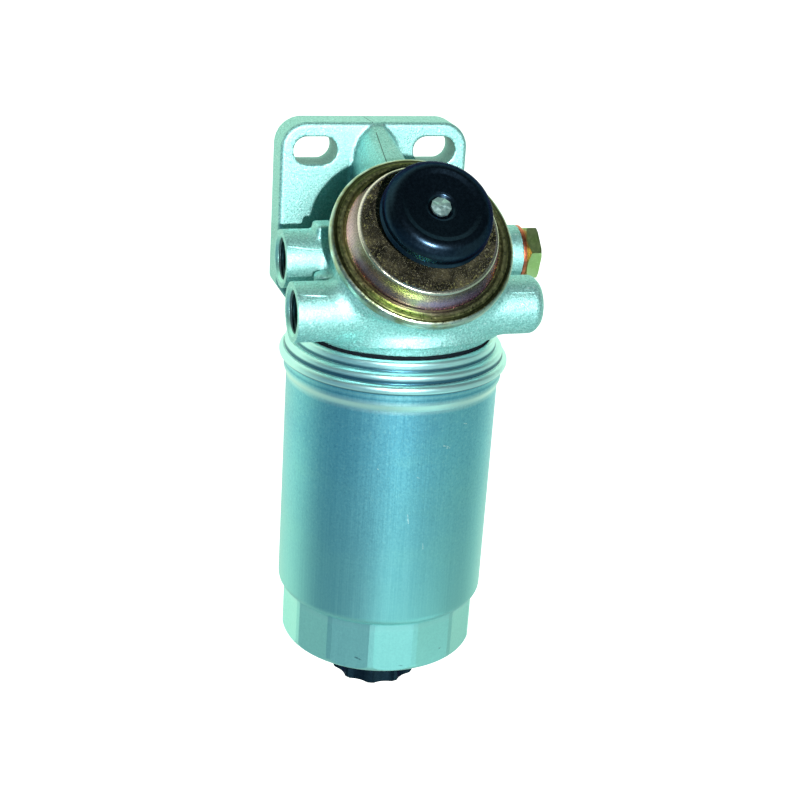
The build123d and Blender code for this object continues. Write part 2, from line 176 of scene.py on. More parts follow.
def mix(t, fac, a, b, blend="MIX"):
    n = N(t, "ShaderNodeMix", data_type="RGBA", blend_type=blend)
    if isinstance(fac, (int, float)):
        n.inputs[0].default_value = fac
    else:
        link(t, fac, n.inputs[0])
    for s, v in ((n.inputs[6], a), (n.inputs[7], b)):
        if isinstance(v, tuple):
            s.default_value = (*v, 1)
        else:
            link(t, v, s)
    return n.outputs[2]


def bump(t, b, height, strength=0.3, distance=0.0002, normal=None):
    n = N(t, "ShaderNodeBump")
    n.inputs["Strength"].default_value = strength
    n.inputs["Distance"].default_value = distance
    link(t, height, n.inputs["Height"])
    if normal is not None:
        link(t, normal, n.inputs["Normal"])
    link(t, n.outputs["Normal"], b.inputs["Normal"])
    return n.outputs["Normal"]


# ---------------------------------------------------------------------------
# soft studio surroundings: bright behind and below, dim in front and above
# ---------------------------------------------------------------------------
world = bpy.data.worlds.new("studio")
scene.world = world
world.use_nodes = True
wt = world.node_tree
bg = wt.nodes["Background"]
sep = N(wt, "ShaderNodeSeparateXYZ")
link(wt, N(wt, "ShaderNodeTexCoord").outputs["Generated"], sep.inputs[0])


def soft(fac, lo, hi):
    n = N(wt, "ShaderNodeMapRange", interpolation_type="SMOOTHSTEP")
    n.inputs["From Min"].default_value = lo
    n.inputs["From Max"].default_value = hi
    link(wt, fac, n.inputs["Value"])
    return n.outputs["Result"]


back_f = soft(sep.outputs["Y"], -0.10, 0.75)
side_f = soft(sep.outputs["X"], 0.15, 0.85)
down_f = soft(sep.outputs["Z"], -0.35, -1.0)
up_f = soft(sep.outputs["Z"], -0.12, 0.35)
wc = mix(wt, side_f, (0.055, 0.175, 0.25), (0.30, 0.43, 0.39))
wc = mix(wt, up_f, wc, (0.010, 0.022, 0.028))
wc = mix(wt, back_f, wc, (1.00, 1.22, 0.98))
wc = mix(wt, down_f, wc, (0.34, 0.46, 0.43))
link(wt, wc, bg.inputs["Color"])
bg.inputs["Strength"].default_value = 1.0

# ---------------------------------------------------------------------------
# materials
# ---------------------------------------------------------------------------
mats = {}

# die cast aluminium
m, t, b = material("cast_aluminium_skin", (0.42, 0.80, 0.75), 0.93, 0.48)
v = coords(t)
fine = noise(t, v, 3300, 2, 0.7)
mid = noise(t, v, 1500, 2, 0.65)
broad = noise(t, v, 45, 3, 0.55)
c1 = ramp(t, mid, [(0.30, (0.25, 0.55, 0.52)), (0.50, (0.38, 0.74, 0.70)), (0.70, (0.58, 0.97, 0.93))])
c2 = mix(t, value_range(t, broad, 0.42, 0.72, 0.0, 0.28), c1, (0.31, 0.60, 0.58))
spots = noise(t, v, 1150, 1, 0.5)
c2 = mix(t, value_range(t, spots, 0.655, 0.715, 0.0, 0.6), c2, (0.85, 1.0, 0.99))
c2 = mix(t, value_range(t, spots, 0.335, 0.275, 0.0, 0.5), c2, (0.13, 0.32, 0.32))
# painted shade: ambient occlusion darkens the base colour in recesses, fully on and near the plate and partly
# elsewhere, standing in for the shade behind the pump
ao = N(t, "ShaderNodeAmbientOcclusion", samples=6)
ao.inputs["Distance"].default_value = 0.034
spc = N(t, "ShaderNodeSeparateXYZ")
link(t, v, spc.inputs[0])
on_plate = value_range(t, spc.outputs["Y"], -0.034, -0.020, 0.36, 1.0)
painted_recess_shade = math_node(t, "MULTIPLY", value_range(t, ao.outputs["AO"], 0.26, 0.72, 0.88, 0.0), on_plate)
c2 = mix(t, painted_recess_shade, c2, (0.035, 0.085, 0.09))
link(t, c2, b.inputs["Base Color"])
link(t, value_range(t, mid, 0.3, 0.7, 0.47, 0.60), b.inputs["Roughness"])
h = math_node(t, "ADD", math_node(t, "MULTIPLY", fine, 0.7), mid)
bump(t, b, h, 0.9, 0.00014)
mats["cast"] = m

# machined aluminium faces of the ports
m, t, b = material("machined_aluminium", (0.40, 0.86, 0.78), 0.85, 0.34)
v = coords(t)
lines = noise(t, v, 2600, 2, 0.5)
link(t, ramp(t, lines, [(0.3, (0.34, 0.74, 0.66)), (0.7, (0.48, 0.92, 0.84))]), b.inputs["Base Color"])
link(t, value_range(t, lines, 0.3, 0.7, 0.28, 0.42), b.inputs["Roughness"])
bump(t, b, lines, 0.2, 0.00005)
mats["machined"] = m


def near_segment(t, vec, p0, p1, radius):
    """1 close to the segment p0..p1 (metres), 0 beyond the radius."""
    p0, p1 = Vector(p0), Vector(p1)
    d = p1 - p0
    sub = N(t, "ShaderNodeVectorMath", operation="SUBTRACT")
    link(t, vec, sub.inputs[0])
    sub.inputs[1].default_value = p0
    dot = N(t, "ShaderNodeVectorMath", operation="DOT_PRODUCT")
    link(t, sub.outputs[0], dot.inputs[0])
    dot.inputs[1].default_value = d / d.length_squared
    cl = N(t, "ShaderNodeClamp")
    link(t, dot.outputs["Value"], cl.inputs[0])
    sc = N(t, "ShaderNodeVectorMath", operation="SCALE")
    sc.inputs[0].default_value = d
    link(t, cl.outputs[0], sc.inputs["Scale"])
    dist = N(t, "ShaderNodeVectorMath", operation="DISTANCE")
    link(t, sub.outputs[0], dist.inputs[0])
    link(t, sc.outputs[0], dist.inputs[1])
    return value_range(t, dist.outputs["Value"], 0.4 * radius, radius, 1.0, 0.0)


def on_can(azimuth, z, r=41.0):
    """Point on the can's wall: azimuth in degrees from -Y towards +X, z in the working frame, metres."""
    a_ = math.radians(azimuth)
    return ((r * math.sin(a_)) * MM, (-r * math.cos(a_) - 52.05) * MM, (z - 70.5) * MM)


# drawn can
m, t, b = material("drawn_can_skin", (0.23, 0.58, 0.66), 0.92, 0.36)
streak = noise(t, coords(t, (2600, 2600, 22)), 1.0, 3, 0.62)
wide = noise(t, coords(t, (420, 420, 9)), 1.0, 2, 0.5)
v2 = coords(t)
blotch = noise(t, v2, 24, 4, 0.6)
grain = noise(t, v2, 1900, 2, 0.6)
c = ramp(t, streak, [(0.28, (0.185, 0.57, 0.69)), (0.5, (0.205, 0.615, 0.735)), (0.74, (0.235, 0.665, 0.775))])
c = mix(t, value_range(t, wide, 0.40, 0.70, 0.0, 0.10), c, (0.25, 0.70, 0.78))
c = mix(t, value_range(t, blotch, 0.42, 0.70, 0.0, 0.55), c, (0.15, 0.47, 0.61))
patch = noise(t, coords(t, (26, 26, 60)), 1.0, 3, 0.6)
c = mix(t, value_range(t, patch, 0.48, 0.72, 0.0, 0.40), c, (0.28, 0.72, 0.70))
mottle = noise(t, v2, 1000, 3, 0.7)
c = mix(t, value_range(t, mottle, 0.52, 0.68, 0.0, 0.45), c, (0.38, 0.82, 0.84))
c = mix(t, value_range(t, mottle, 0.46, 0.32, 0.0, 0.50), c, (0.11, 0.38, 0.50))
spz = N(t, "ShaderNodeSeparateXYZ")
link(t, v2, spz.inputs[0])
# painted light: the lower part of the can is painted brighter and greener, standing in for bounce light from below
low = value_range(t, spz.outputs["Z"], -0.095, -0.172, 0.0, 0.85)
c = mix(t, low, c, mix(t, value_range(t, streak, 0.35, 0.7, 0.0, 1.0), (0.31, 0.71, 0.69), (0.36, 0.77, 0.73)))
# painted light: the neck below the shoulder is painted brighter still
painted_neck_light = value_range(t, spz.outputs["Z"], -0.1690, -0.1715, 0.0, 0.8)
c = mix(t, painted_neck_light, c, mix(t, value_range(t, mottle, 0.35, 0.65, 0.0, 1.0), (0.40, 0.84, 0.80), (0.46, 0.92, 0.87)))
wz = math_node(t, "ADD", math_node(t, "MULTIPLY", spz.outputs["Z"], 1000.0), 70.5)
# painted highlight: a pale band along the can's shoulder just below the seam
painted_shoulder_highlight = math_node(t, "MULTIPLY", value_range(t, wz, -9.6, -6.6, 0.0, 1.0), value_range(t, wz, -3.6, -5.8, 0.0, 1.0))
c = mix(t, math_node(t, "MULTIPLY", painted_shoulder_highlight, 0.9), c, (0.72, 1.0, 0.93))
# painted light under the seam bead: a dark painted shade line right below it, a pale painted band, then a second dark
# painted shade line
for z0_, z1_, s_, amount, tone in ((-1.15, -0.3, 0.25, 0.75, (0.05, 0.20, 0.30)), (-2.5, -1.7, 0.2, 0.45, (0.40, 0.84, 0.84)),
                                 (-3.5, -3.05, 0.2, 0.45, (0.08, 0.30, 0.40))):
    painted_band = math_node(t, "MULTIPLY", value_range(t, wz, z0_ - s_, z0_ + s_, 0.0, amount), value_range(t, wz, z1_ - s_, z1_ + s_, 1.0, 0.0))
    c = mix(t, painted_band, c, tone)
# painted highlight: a pale band where the can's wall turns in to the neck
painted_neck_highlight = math_node(t, "MULTIPLY", value_range(t, wz, -101.8, -99.8, 0.0, 1.0), value_range(t, wz, -97.6, -98.8, 0.0, 1.0))
c = mix(t, math_node(t, "MULTIPLY", painted_neck_highlight, 0.45), c, (0.50, 0.90, 0.86))
marks = None
for p0, p1, rad in (
        (on_can(13, -22.5), on_can(16, -23.1), 0.00030), (on_can(14.5, -23.6), on_can(17, -23.8), 0.00024),
        (on_can(25.5, -15.2), on_can(27.5, -15.6), 0.00026), (on_can(-4.5, -49.5), on_can(-3.9, -53.0), 0.00026),
        (on_can(-1.0, -34.2), on_can(0.6, -34.6), 0.00022), (on_can(5.0, -62), on_can(5.4, -64.5), 0.0002),
        (on_can(-22, -31.0), on_can(-21.2, -31.4), 0.0002)):
    k_ = near_segment(t, v2, p0, p1, rad)
    marks = k_ if marks is None else math_node(t, "MAXIMUM", marks, k_)
c = mix(t, math_node(t, "MULTIPLY", marks, value_range(t, grain, 0.4, 0.55, 0.0, 1.0)), c, (0.75, 0.98, 0.96))
dark = None
for p0, p1, rad in (
        (on_can(-28.5, -113.6, 38), on_can(-25.0, -114.4, 38), 0.0005), (on_can(-2.0, -116.6, 38), on_can(0.5, -116.8, 38), 0.00035),
        (on_can(24.5, -112.9, 38), on_can(26.0, -112.6, 38), 0.0004), (on_can(-46.0, -96.5), on_can(-45.0, -96.8), 0.0004)):
    k_ = near_segment(t, v2, p0, p1, rad)
    dark = k_ if dark is None else math_node(t, "MAXIMUM", dark, k_)
c = mix(t, math_node(t, "MULTIPLY", dark, value_range(t, grain, 0.38, 0.55, 0.0, 0.9)), c, (0.05, 0.14, 0.18))
link(t, c, b.inputs["Base Color"])
link(t, math_node(t, "ADD", value_range(t, streak, 0.3, 0.7, 0.33, 0.38), value_range(t, grain, 0.3, 0.7, -0.03, 0.05)), b.inputs["Roughness"])
h = math_node(t, "ADD", math_node(t, "MULTIPLY", streak, 0.25), math_node(t, "MULTIPLY", mottle, 0.9))
bump(t, b, h, 0.4, 0.00004)
mats["can"] = m

# pressed lid: turned look, rings, with painted shade in the ring grooves and under the bead
m, t, b = material("pressed_lid_skin", (0.6, 0.93, 0.93), 0.9, 0.34)
v = coords(t)
blotch = noise(t, v, 60, 3, 0.6)
grain = noise(t, v, 1600, 2, 0.6)
c = ramp(t, blotch, [(0.3, (0.54, 0.91, 0.90)), (0.7, (0.64, 0.99, 0.97))])
sub = N(t, "ShaderNodeVectorMath", operation="MULTIPLY_ADD")
link(t, v, sub.inputs[0])
sub.inputs[1].default_value = (1000, 1000, 1000)
sub.inputs[2].default_value = (0, 52.05, 70.5)
spl = N(t, "ShaderNodeSeparateXYZ")
link(t, sub.outputs[0], spl.inputs[0])
rl = math_node(t, "SQRT", math_node(t, "ADD", math_node(t, "MULTIPLY", spl.outputs["X"], spl.outputs["X"]),
                                    math_node(t, "MULTIPLY", spl.outputs["Y"], spl.outputs["Y"])))
# painted shade: dark in the two ring grooves and on the underside of the bead
g1 = math_node(t, "MULTIPLY", value_range(t, spl.outputs["Z"], 8.3, 7.6, 0.0, 0.9), value_range(t, rl, 39.35, 39.15, 0.0, 1.0))
g2 = math_node(t, "MULTIPLY", value_range(t, spl.outputs["Z"], 4.9, 4.1, 0.0, 0.95), value_range(t, rl, 42.2, 42.0, 0.0, 1.0))
g3 = value_range(t, spl.outputs["Z"], 0.25, -0.35, 0.0, 0.95)
c = mix(t, math_node(t, "MAXIMUM", math_node(t, "MAXIMUM", g1, g2), g3), c, (0.03, 0.13, 0.20))
link(t, c, b.inputs["Base Color"])
link(t, value_range(t, grain, 0.3, 0.7, 0.31, 0.38), b.inputs["Roughness"])
bump(t, b, grain, 0.03, 0.00002)
mats["lid"] = m

# yellow passivated zinc
def zinc(name, dark, light, hue, hue2, rough, metallic=1.0, clouds=75, bumps=0.35, speck_gain=1.5, speck_scale=1300):
    m, t, b = material(name, light, metallic, rough)
    v = coords(t)
    cloud = noise(t, v, clouds, 4, 0.6, 0.6)
    speck = noise(t, v, speck_scale, 3, 0.75)
    tint = noise(t, v, 46, 2, 0.5, 1.2)
    tint2 = noise(t, v, 71, 2, 0.5, 0.8)
    c = ramp(t, cloud, [(0.30, dark), (0.68, light)])
    c = mix(t, value_range(t, tint, 0.42, 0.62, 0.0, 0.85), c, hue)
    c = mix(t, value_range(t, tint2, 0.46, 0.64, 0.0, 0.75), c, hue2)
    c = mix(t, value_range(t, speck, 0.55, 0.75, 0.0, 0.85), c, tuple(min(1, q * speck_gain + 0.04) for q in light))
    link(t, c, b.inputs["Base Color"])
    link(t, value_range(t, speck, 0.3, 0.7, rough - 0.08, rough + 0.12), b.inputs["Roughness"])
    bump(t, b, speck, bumps, 0.00007)
    return m


def pump_axes(t, vec):
    """Coordinates along the tilted pump's own axes, in millimetres, from object coordinates."""
    sub = N(t, "ShaderNodeVectorMath", operation="SUBTRACT")
    link(t, vec, sub.inputs[0])
    sub.inputs[1].default_value = (0.0, (-27.14 - 52.05) * MM, (53.3 - 70.5) * MM)
    mp = N(t, "ShaderNodeMapping")
    mp.inputs["Rotation"].default_value = (-math.pi / 4, 0, 0)
    mp.inputs["Scale"].default_value = (1000, 1000, 1000)
    link(t, sub.outputs[0], mp.inputs["Vector"])
    sp = N(t, "ShaderNodeSeparateXYZ")
    link(t, mp.outputs[0], sp.inputs[0])
    return sp


def pump_rh(t, vec):
    """Distance from the pump's axis and height along it."""
    sp = pump_axes(t, vec)
    rr = math_node(t, "SQRT", math_node(t, "ADD", math_node(t, "MULTIPLY", sp.outputs["X"], sp.outputs["X"]),
                                        math_node(t, "MULTIPLY", sp.outputs["Y"], sp.outputs["Y"])))
    return rr, sp.outputs["Z"]


def band(t, x, lo, hi, soft_, amount=1.0):
    """Soft mask: amount between lo and hi, 0 outside."""
    return math_node(t, "MULTIPLY", value_range(t, x, lo - soft_, lo + soft_, 0.0, amount), value_range(t, x, hi - soft_, hi + soft_, 1.0, 0.0))


m = zinc("yellow_zinc_rim", (0.16, 0.19, 0.07), (0.42, 0.45, 0.19), (0.24, 0.29, 0.10), (0.36, 0.33, 0.14), 0.32, bumps=0.9, speck_gain=1.9, speck_scale=950)
t = m.node_tree
b = t.nodes["Principled BSDF"]
c = b.inputs["Base Color"].links[0].from_socket
rr, hh = pump_rh(t, coords(t))
highlight_breakup = value_range(t, noise(t, coords(t), 160, 3, 0.6), 0.36, 0.56, 0.25, 1.0)
# painted light on the rolled rim: dark painted shade at the roll's inner edge and in its outer groove, a painted gold
# highlight along the crown, broken up by noise, and a pale painted highlight on the outer rounded edge
c = mix(t, band(t, rr, 28.95, 29.75, 0.12, 0.65), c, (0.05, 0.055, 0.02))
c = mix(t, math_node(t, "MULTIPLY", band(t, rr, 30.0, 30.9, 0.18, 0.8), highlight_breakup), c, (0.78, 0.74, 0.36))
c = mix(t, band(t, rr, 31.75, 32.85, 0.15, 0.9), c, (0.03, 0.035, 0.012))
c = mix(t, math_node(t, "MULTIPLY", band(t, rr, 33.1, 60.0, 0.12, 0.9), highlight_breakup), c, (0.56, 0.71, 0.63))
# a painted green-yellow reflection low on the left, in the hollow of the rolled rim
axes = pump_axes(t, coords(t))
painted_green_reflection = math_node(t, "MULTIPLY", band(t, axes.outputs["X"], -21.0, -6.0, 4.0, 1.0), value_range(t, axes.outputs["Y"], -14.0, -20.0, 0.0, 1.0))
c = mix(t, math_node(t, "MULTIPLY", painted_green_reflection, band(t, rr, 29.9, 31.6, 0.3, 0.85)), c, (0.66, 0.98, 0.16))
link(t, c, b.inputs["Base Color"])
mats["zinc_rim"] = m
m = zinc("yellow_zinc_plug", (0.42, 0.58, 0.20), (0.66, 0.84, 0.36), (0.52, 0.74, 0.24), (0.68, 0.82, 0.38), 0.36, bumps=0.12, speck_gain=1.15)
mats["zinc_plug"] = m

# pump cover: pink and lilac dished wall, a painted cream highlight on the step edge, a flat top painted dark as shade,
# with fine scratches
m, t, b = material("yellow_zinc_cover", (0.9, 0.8, 0.6), 0.97, 0.28)
v = coords(t)
rr, hh = pump_rh(t, v)
cloud = noise(t, v, 60, 3, 0.6, 0.6)
tint = noise(t, v, 42, 2, 0.5, 1.0)
tint2 = noise(t, v, 63, 2, 0.5, 0.8)
speck = noise(t, v, 1300, 3, 0.75)
climb = math_node(t, "ADD", value_range(t, hh, -1.0, 7.0, 0.0, 1.0), value_range(t, cloud, 0.3, 0.7, -0.10, 0.10))
wall = ramp(t, climb, [(0.03, (0.74, 0.44, 0.40)), (0.22, (0.92, 0.64, 0.78)), (0.52, (0.88, 0.76, 0.92)), (0.84, (0.74, 0.82, 0.70))])
wall = mix(t, value_range(t, tint, 0.44, 0.62, 0.0, 0.65), wall, (0.80, 0.58, 0.86))
wall = mix(t, value_range(t, tint2, 0.50, 0.66, 0.0, 0.65), wall, (0.62, 0.80, 0.42))
# the wall's upper left side is painted paler and made less metallic: a painted lit side
axes = pump_axes(t, v)
pale = math_node(t, "MULTIPLY", value_range(t, axes.outputs["X"], -2.0, -14.0, 0.0, 1.0), value_range(t, axes.outputs["Y"], -9.0, 2.0, 0.0, 1.0))
pale = math_node(t, "MULTIPLY", pale, value_range(t, rr, 25.0, 25.5, 0.0, 1.0))
wall = mix(t, math_node(t, "MULTIPLY", pale, 0.85), wall, (1.0, 0.74, 0.70))
# browner low on the left, greyer at the bottom
low_left = math_node(t, "MULTIPLY", value_range(t, axes.outputs["X"], -7.0, -14.0, 0.0, 1.0), value_range(t, axes.outputs["Y"], -6.0, -13.0, 0.0, 0.85))
low_left = math_node(t, "MULTIPLY", low_left, value_range(t, rr, 25.0, 25.4, 0.0, 1.0))
bottom = math_node(t, "MULTIPLY", value_range(t, axes.outputs["Y"], -14.0, -22.0, 0.0, 1.0), value_range(t, rr, 25.0, 25.4, 0.0, 1.0))
wall = mix(t, bottom, wall, (0.55, 0.53, 0.78), "MULTIPLY")
wall = mix(t, low_left, wall, (0.34, 0.27, 0.22), "MULTIPLY")
dust = noise(t, v, 130, 4, 0.65, 0.5)
scr = noise(t, v, 850, 6, 0.85, 2.0)
# the flat top is painted dark, painted shade standing in for the dark surroundings it reflects; its scratches and the
# gold grit near its edge are its own
flat = ramp(t, dust, [(0.34, (0.016, 0.016, 0.012)), (0.52, (0.075, 0.068, 0.045)), (0.68, (0.20, 0.175, 0.10))])
flat = mix(t, value_range(t, scr, 0.575, 0.635, 0.0, 1.0), flat, (0.80, 0.74, 0.46))
grit = noise(t, v, 1050, 2, 0.7)
flat = mix(t, math_node(t, "MULTIPLY", value_range(t, grit, 0.58, 0.66, 0.0, 0.8), value_range(t, rr, 20.5, 24.0, 0.15, 1.0)), flat, (0.66, 0.62, 0.24))
is_flat = math_node(t, "MULTIPLY", value_range(t, hh, 7.45, 7.75, 0.0, 1.0), value_range(t, rr, 25.1, 24.7, 0.0, 1.0))
# painted highlight: a cream band on the rounded step edge
painted_edge_highlight = math_node(t, "MULTIPLY", value_range(t, hh, 6.95, 7.3, 0.0, 0.75), value_range(t, rr, 24.8, 25.2, 0.0, 1.0))
is_foot = value_range(t, hh, -0.6, -0.95, 0.0, 1.0)
under = math_node(t, "MULTIPLY", value_range(t, hh, 5.2, 6.1, 0.0, 0.5), value_range(t, hh, 7.1, 6.7, 0.0, 1.0))
c = mix(t, under, wall, (0.34, 0.26, 0.20))
c = mix(t, is_foot, c, (0.16, 0.13, 0.04))
c = mix(t, painted_edge_highlight, c, (0.80, 0.78, 0.56))
c = mix(t, is_flat, c, flat)
c = mix(t, value_range(t, speck, 0.58, 0.78, 0.0, 0.4), c, (0.92, 0.88, 0.78))
link(t, c, b.inputs["Base Color"])
ro = math_node(t, "ADD", value_range(t, speck, 0.3, 0.7, 0.22, 0.34), math_node(t, "MULTIPLY", is_flat, -0.04))
link(t, ro, b.inputs["Roughness"])
# metallic is lowered on the flat top and on the painted lit side of the wall
link(t, math_node(t, "MULTIPLY", value_range(t, is_flat, 0.0, 1.0, 0.97, 0.72), value_range(t, pale, 0.0, 1.0, 1.0, 0.35)), b.inputs["Metallic"])
bump(t, b, math_node(t, "ADD", math_node(t, "MULTIPLY", speck, 0.5), math_node(t, "MULTIPLY", math_node(t, "MULTIPLY", is_flat, scr), 0.9)), 0.45, 0.00006)
mats["zinc_cover"] = m


def plain(name, a, c, metallic, rough, scale=900, strength=0.2):
    m, t, b = material(name, a, metallic, rough)
    v = coords(t)
    n = noise(t, v, scale, 3, 0.6)
    link(t, ramp(t, n, [(0.3, a), (0.7, c)]), b.inputs["Base Color"])
    link(t, value_range(t, n, 0.3, 0.7, max(0.05, rough - 0.06), rough + 0.08), b.inputs["Roughness"])
    bump(t, b, n, strength, 0.00005)
    return m


mats["copper"] = plain("soft_copper", (0.56, 0.13, 0.06), (0.86, 0.27, 0.15), 1.0, 0.34)
mats["steel"] = plain("bright_zinc_steel", (0.45, 0.55, 0.56), (0.66, 0.76, 0.76), 1.0, 0.28)
mats["rubber"] = plain("black_rubber_skin", (0.006, 0.008, 0.010), (0.018, 0.02, 0.024), 0.0, 0.6)
mats["rivet"] = plain("rivet_steel_skin", (0.50, 0.82, 0.78), (0.72, 0.98, 0.94), 0.9, 0.36)
# the port threads are painted dark: painted shade deep in the bores
mats["painted_bore_shade"] = plain("port_thread_painted_shade", (0.05, 0.10, 0.11), (0.13, 0.22, 0.23), 0.85, 0.42)
mats["paper"] = plain("filter_paper_skin", (0.62, 0.52, 0.33), (0.74, 0.64, 0.44), 0.0, 0.85)
# dark skin for the seam and crease strips: painted shade lines
mats["seam"] = plain("casting_seam_painted_shade", (0.02, 0.05, 0.055), (0.06, 0.12, 0.13), 0.5, 0.55)
mats["seal"] = plain("blue_black_rubber_skin", (0.001, 0.003, 0.006), (0.004, 0.009, 0.014), 0.0, 0.8)
mats["seal"].node_tree.nodes["Principled BSDF"].inputs["Specular IOR Level"].default_value = 0.15
mats["brass"] = plain("machined_brass", (0.5, 0.36, 0.12), (0.72, 0.55, 0.24), 1.0, 0.3)
mats["white"] = plain("white_plastic_skin", (0.6, 0.62, 0.58), (0.7, 0.72, 0.68), 0.0, 0.5)
mats["valve"] = plain("brown_plastic_skin", (0.12, 0.08, 0.05), (0.18, 0.13, 0.09), 0.0, 0.5)
mats["wire"] = plain("spring_wire_skin", (0.35, 0.40, 0.42), (0.5, 0.55, 0.57), 1.0, 0.3)

# black gloss plastic
m, t, b = material("black_gloss_plastic", (0.02, 0.035, 0.05), 0.95, 0.2)
b.inputs["Specular Tint"].default_value = (0.24, 0.28, 0.36, 1)
v = coords(t)
n = noise(t, v, 900, 3, 0.6)
wave = noise(t, v, 110, 2, 0.5)
dust = noise(t, v, 1500, 1, 0.5)
c = ramp(t, n, [(0.3, (0.016, 0.030, 0.048)), (0.75, (0.028, 0.052, 0.078))])
c = mix(t, value_range(t, dust, 0.80, 0.84, 0.0, 0.4), c, (0.10, 0.16, 0.20))
link(t, c, b.inputs["Base Color"])
link(t, value_range(t, n, 0.3, 0.75, 0.245, 0.31), b.inputs["Roughness"])
bump(t, b, math_node(t, "ADD", wave, math_node(t, "MULTIPLY", n, 0.08)), 0.3, 0.00012)
mats["plastic"] = m

m, t, b = material("floor_paint", (0.86, 0.88, 0.88), 0.0, 0.8)
v = coords(t)
n = noise(t, v, 9, 2, 0.5)
link(t, ramp(t, n, [(0.3, (0.84, 0.86, 0.86)), (0.7, (0.88, 0.90, 0.90))]), b.inputs["Base Color"])
b.inputs["Emission Color"].default_value = (1, 1, 1, 1)
b.inputs["Emission Strength"].default_value = 1.0
floor.data.materials.append(m)


def dress(node, key):
    o = nodes[node]
    o.data.materials.clear()
    o.data.materials.append(mats[key])


for n_, k_ in {
        "filter_head": "cast", "center_stud": "steel", "port_plug": "zinc_plug", "plug_washer": "copper",
        "pump_lower_housing": "zinc_rim", "pump_cover": "zinc_cover", "pump_gasket": "rubber", "pump_screws": "steel",
        "pump_diaphragm": "rubber", "diaphragm_plate_upper": "steel", "diaphragm_plate_lower": "steel", "plunger_bush": "white",
        "plunger_rod": "steel", "pump_knob": "plastic", "pump_return_spring": "wire", "inlet_valve_body": "steel",
        "inlet_valve_disc": "valve", "inlet_valve_spring": "wire", "outlet_valve_body": "steel", "outlet_valve_disc": "valve",
        "outlet_valve_spring": "wire", "sealing_gasket": "seal", "seaming_lid": "lid", "filter_can": "can",
        "tapping_plate": "steel", "filter_element": "paper", "element_top_cap": "steel", "element_bottom_cap": "steel",
        "center_tube": "steel", "element_seal": "rubber", "element_spring": "wire", "drain_bush": "brass",
        "drain_knob": "plastic", "drain_o_ring": "rubber"}.items():
    dress(n_, k_)


# ---------------------------------------------------------------------------
# the head casting, as a filleted surface round a distance field
# ---------------------------------------------------------------------------
def smin(a, b, k):
    h = np.maximum(k - np.abs(a - b), 0.0) / k
    return np.minimum(a, b) - h * h * k * 0.25


def rmax(a, b, r):
    """Intersection with a rounded edge of radius r."""
    return np.minimum(np.maximum(a, b), -r) + np.hypot(np.maximum(a + r, 0), np.maximum(b + r, 0))


PC = np.array([0.0, -27.14, 53.3])
S45 = math.sqrt(0.5)


def pump_local(x, y, z):
    dy, dz = y - PC[1], z - PC[2]
    return x, (dy + dz) * S45, (dz - dy) * S45


def tube_x(x, y, z, yc, zc, r, x0, x1, r0, r1):
    q = np.hypot(y - yc, z - zc) - r
    return np.where(x < 0, rmax(q, x0 - x, r0), rmax(q, x - x1, r1))


def box_d(x, y, z, lo, hi, r):
    qx = np.maximum(lo[0] - x, x - hi[0]) + r
    qy = np.maximum(lo[1] - y, y - hi[1]) + r
    qz = np.maximum(lo[2] - z, z - hi[2]) + r
    out = np.sqrt(np.maximum(qx, 0) ** 2 + np.maximum(qy, 0) ** 2 + np.maximum(qz, 0) ** 2)
    return out + np.minimum(np.maximum(qx, np.maximum(qy, qz)), 0) - r


